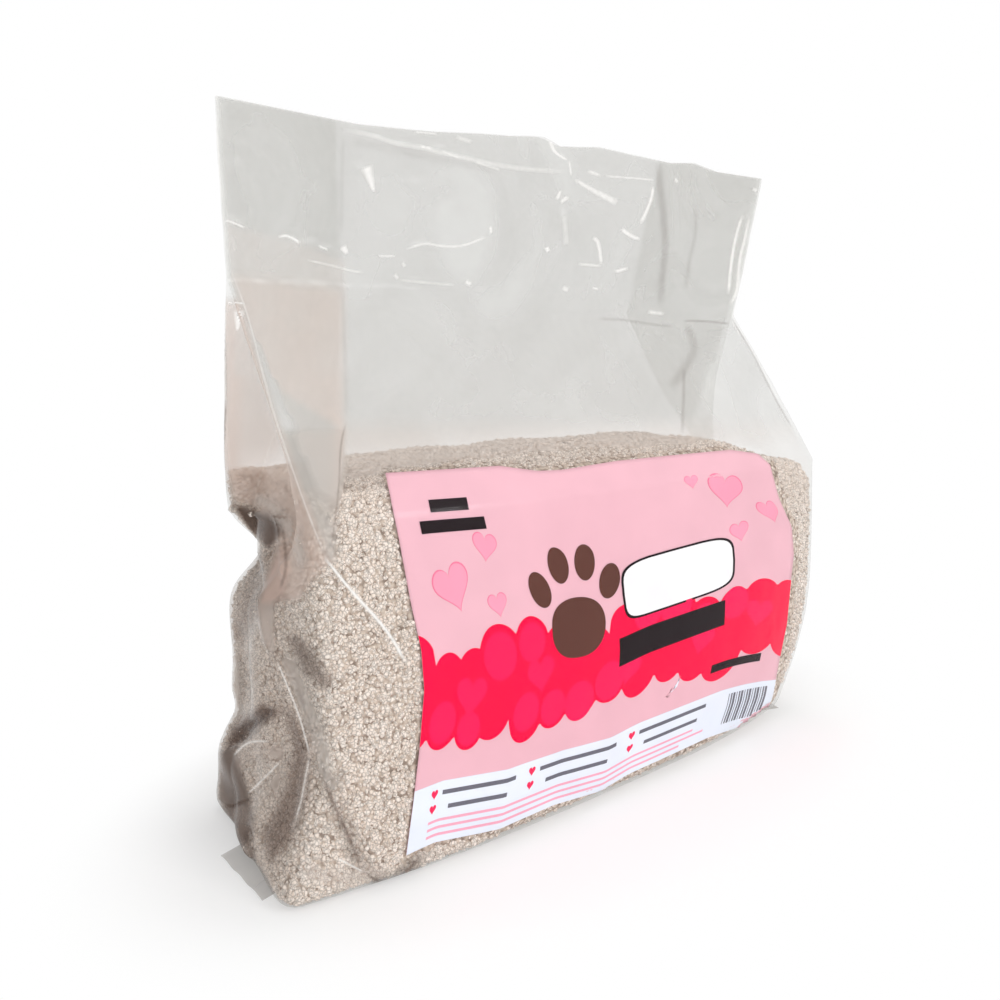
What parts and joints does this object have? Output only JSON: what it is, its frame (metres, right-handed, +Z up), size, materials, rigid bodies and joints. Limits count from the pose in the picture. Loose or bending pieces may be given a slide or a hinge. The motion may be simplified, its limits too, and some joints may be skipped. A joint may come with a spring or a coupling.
{
  "type": "cat litter bag",
  "caption": "Clear side-gusset film bag with a flat welded header, standing about half full of pale granular cat litter, with a printed pink sheet behind the front panel.",
  "frame": {"origin": "bottom centre of the bag's bounding box, on the surface that it stands on", "axes": "+X along the bag's width, towards the right as seen from the front; -Y is the printed front; +Z up"},
  "size_m": [0.3762, 0.1284, 0.3359],
  "materials": {
    "film": "clear, slightly hazy film with soft creases",
    "litter": "matte granules",
    "label": "printed paper, pink with red and white fields"
  },
  "bodies": {
    "root": {"film_bag": "film", "litter_fill": "litter", "label_sheet": "label"}
  },
  "joints": []
}
